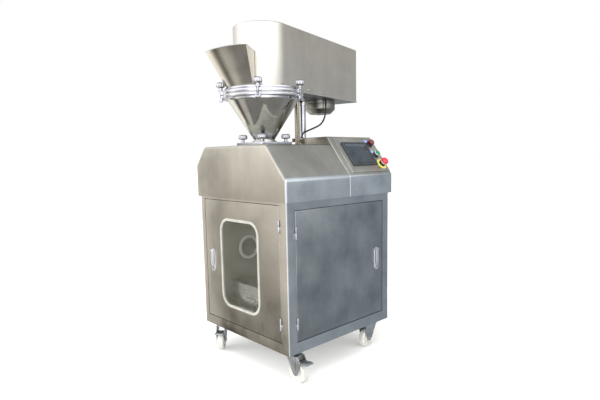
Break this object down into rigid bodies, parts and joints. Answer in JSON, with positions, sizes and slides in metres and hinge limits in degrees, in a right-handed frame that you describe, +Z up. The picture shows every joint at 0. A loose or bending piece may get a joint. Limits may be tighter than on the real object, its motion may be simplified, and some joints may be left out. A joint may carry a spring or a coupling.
{
  "type": "dry granulator",
  "caption": "Free-standing stainless dry granulator: feed funnel, clamped conical hopper, belt-driven feed screw arm, press rolls, windowed bin compartment, touch panel, castors.",
  "frame": {"origin": "on the floor under the middle of the cabinet", "axes": "+Z up, -Y towards the windowed front door, +X towards the plain side door"},
  "size_m": [0.7781, 1.0089, 1.64],
  "materials": {
    "front_sheet": "brushed, warm",
    "side_sheet": "brushed, mottled",
    "hood_sheet": "brushed",
    "arm_sheet": "brushed",
    "polished": "polished",
    "satin": "satin",
    "mirror_cone": "mirror polished",
    "dark_steel": "dull",
    "paint_grey": "semi-gloss paint",
    "zinc": "zinc plated",
    "nylon": "moulded nylon",
    "black_plastic": "moulded",
    "panel_plastic": "moulded",
    "red_cap": "gloss",
    "dark_red_cap": "translucent gloss",
    "green_cap": "translucent gloss",
    "rim_rubber": "extruded silicone",
    "white_rubber": "silicone",
    "belt_rubber": "moulded",
    "cable_rubber": "sheath",
    "pane": "clear sheet"
  },
  "bodies": {
    "base": {"cabinet_frame": "front_sheet", "cover_panels": "side_sheet", "compartment_liner": "dark_steel", "front_hood": "hood_sheet", "rear_hood": "hood_sheet", "control_plate": "hood_sheet", "touch_panel": "panel_plastic", "button_collars": "black_plastic", "castor_plates": "zinc", "roll_housing": "satin", "bearings": "polished", "gearmotors": "paint_grey", "granulator_screen": "satin", "discharge_spout": "satin", "collecting_bin": "satin", "control_gear": "paint_grey", "hopper_base": "polished", "hopper_knobs": "polished", "hopper_cone": "mirror_cone", "lid_gasket": "white_rubber", "hopper_lid": "polished", "feed_funnel": "arm_sheet", "hopper_stay": "satin", "column": "polished", "arm_base": "arm_sheet", "arm_cover": "arm_sheet", "feed_motor": "satin", "drive_belt": "belt_rubber", "motor_cable": "cable_rubber", "cable_glands": "black_plastic"},
    "front_door": {"front_door": "front_sheet", "window_pane": "pane", "window_gasket": "rim_rubber", "front_lock": "polished"},
    "front_lever": {"front_lever": "polished"},
    "side_door": {"side_door": "side_sheet", "side_lock": "polished"},
    "side_lever": {"side_lever": "polished"},
    "castor_front_right": {"fork_front_right": "zinc"},
    "wheel_front_right": {"wheel_front_right": "nylon"},
    "pedal_front_right": {"pedal_front_right": "black_plastic"},
    "castor_front_left": {"fork_front_left": "zinc"},
    "wheel_front_left": {"wheel_front_left": "nylon"},
    "pedal_front_left": {"pedal_front_left": "black_plastic"},
    "castor_rear_right": {"fork_rear_right": "zinc"},
    "wheel_rear_right": {"wheel_rear_right": "nylon"},
    "castor_rear_left": {"fork_rear_left": "zinc"},
    "wheel_rear_left": {"wheel_rear_left": "nylon"},
    "stop_button": {"stop_button": "dark_red_cap"},
    "start_button": {"start_button": "green_cap"},
    "estop_button": {"estop_button": "red_cap"},
    "feed_screw": {"feed_screw": "satin"},
    "motor_shaft": {"motor_pulley": "dark_steel"},
    "roll_right": {"press_roll_right": "polished"},
    "roll_left": {"press_roll_left": "polished"},
    "rotor": {"granulator_rotor": "satin"},
    "clamp_front_right": {"clamp_front_right": "polished"},
    "clamp_front_left": {"clamp_front_left": "polished"},
    "clamp_rear_right": {"clamp_rear_right": "polished"},
    "clamp_rear_left": {"clamp_rear_left": "polished"}
  },
  "joints": [
    {"name": "front_door_hinge", "type": "hinge", "parent": "base", "child": "front_door", "pos_m": [0.294, -0.3648, 0.5], "axis": [0, 0, 1], "range_deg": [0, 115]},
    {"name": "front_lever_hinge", "type": "hinge", "parent": "front_door", "child": "front_lever", "pos_m": [-0.238, -0.3685, 0.5455], "axis": [-1, 0, 0], "range_deg": [0, 40]},
    {"name": "side_door_hinge", "type": "hinge", "parent": "base", "child": "side_door", "pos_m": [0.3468, -0.309, 0.5], "axis": [0, 0, -1], "range_deg": [0, 115]},
    {"name": "side_lever_hinge", "type": "hinge", "parent": "side_door", "child": "side_lever", "pos_m": [0.3505, 0.254, 0.5395], "axis": [0, -1, 0], "range_deg": [0, 40]},
    {"name": "front_right_swivel", "type": "hinge", "parent": "base", "child": "castor_front_right", "pos_m": [0.282, -0.292, 0.13], "axis": [0, 0, 1], "continuous": true},
    {"name": "front_right_roll", "type": "hinge", "parent": "castor_front_right", "child": "wheel_front_right", "pos_m": [0.327, -0.292, 0.049], "axis": [0, 1, 0], "continuous": true},
    {"name": "front_right_brake", "type": "hinge", "parent": "castor_front_right", "child": "pedal_front_right", "pos_m": [0.352, -0.292, 0.104], "axis": [0, 1, 0], "range_deg": [0, 12]},
    {"name": "front_left_swivel", "type": "hinge", "parent": "base", "child": "castor_front_left", "pos_m": [-0.282, -0.292, 0.13], "axis": [0, 0, 1], "continuous": true},
    {"name": "front_left_roll", "type": "hinge", "parent": "castor_front_left", "child": "wheel_front_left", "pos_m": [-0.25018, -0.32382, 0.049], "axis": [0.7071, 0.7071, 0], "continuous": true},
    {"name": "front_left_brake", "type": "hinge", "parent": "castor_front_left", "child": "pedal_front_left", "pos_m": [-0.2325, -0.3415, 0.104], "axis": [0.7071, 0.7071, 0], "range_deg": [0, 12]},
    {"name": "rear_right_swivel", "type": "hinge", "parent": "base", "child": "castor_rear_right", "pos_m": [0.282, 0.292, 0.13], "axis": [0, 0, 1], "continuous": true},
    {"name": "rear_right_roll", "type": "hinge", "parent": "castor_rear_right", "child": "wheel_rear_right", "pos_m": [0.282, 0.247, 0.049], "axis": [1, 0, 0], "continuous": true},
    {"name": "rear_left_swivel", "type": "hinge", "parent": "base", "child": "castor_rear_left", "pos_m": [-0.282, 0.292, 0.13], "axis": [0, 0, 1], "continuous": true},
    {"name": "rear_left_roll", "type": "hinge", "parent": "castor_rear_left", "child": "wheel_rear_left", "pos_m": [-0.32429, 0.27661, 0.049], "axis": [0.342, -0.9397, 0], "continuous": true},
    {"name": "stop_button_press", "type": "slide", "parent": "base", "child": "stop_button", "axis": [-0.7935, 0, -0.6085], "range_m": [0, 0.003], "stiffness_N_per_m": 900, "springref_m": -0.002},
    {"name": "start_button_press", "type": "slide", "parent": "base", "child": "start_button", "axis": [-0.7935, 0, -0.6085], "range_m": [0, 0.003], "stiffness_N_per_m": 900, "springref_m": -0.002},
    {"name": "estop_press", "type": "slide", "parent": "base", "child": "estop_button", "axis": [-0.7935, 0, -0.6085], "range_m": [0, 0.005], "stiffness_N_per_m": 1200, "springref_m": -0.002},
    {"name": "feed_screw_spin", "type": "hinge", "parent": "base", "child": "feed_screw", "pos_m": [0, -0.193, 1.3], "axis": [0, 0, 1], "continuous": true},
    {"name": "motor_spin", "type": "hinge", "parent": "base", "child": "motor_shaft", "pos_m": [-0.11542, 0.31916, 1.385], "axis": [0, 0, 1], "continuous": true},
    {"name": "roll_right_spin", "type": "hinge", "parent": "base", "child": "roll_right", "pos_m": [0.08, -0.193, 0.916], "axis": [0, 1, 0], "continuous": true},
    {"name": "roll_left_spin", "type": "hinge", "parent": "base", "child": "roll_left", "pos_m": [-0.08, -0.193, 0.916], "axis": [0, 1, 0], "continuous": true},
    {"name": "rotor_spin", "type": "hinge", "parent": "base", "child": "rotor", "pos_m": [0, -0.193, 0.765], "axis": [0, 1, 0], "continuous": true},
    {"name": "clamp_front_right_swing", "type": "hinge", "parent": "base", "child": "clamp_front_right", "pos_m": [0.14566, -0.33866, 1.2945], "axis": [0.7071, 0.7071, 0], "range_deg": [0, 105]},
    {"name": "clamp_front_left_swing", "type": "hinge", "parent": "base", "child": "clamp_front_left", "pos_m": [-0.0903, -0.37815, 1.2945], "axis": [0.8988, -0.4384, 0], "range_deg": [0, 105]},
    {"name": "clamp_rear_right_swing", "type": "hinge", "parent": "base", "child": "clamp_rear_right", "pos_m": [0.19592, -0.12934, 1.2945], "axis": [-0.309, 0.9511, 0], "range_deg": [0, 105]},
    {"name": "clamp_rear_left_swing", "type": "hinge", "parent": "base", "child": "clamp_rear_left", "pos_m": [-0.20522, -0.17505, 1.2945], "axis": [-0.0872, -0.9962, 0], "range_deg": [0, 105]}
  ],
  "couplings": [
    {"joint": "motor_spin", "follows": "feed_screw_spin", "ratio": 2},
    {"joint": "roll_left_spin", "follows": "roll_right_spin", "ratio": -1}
  ]
}
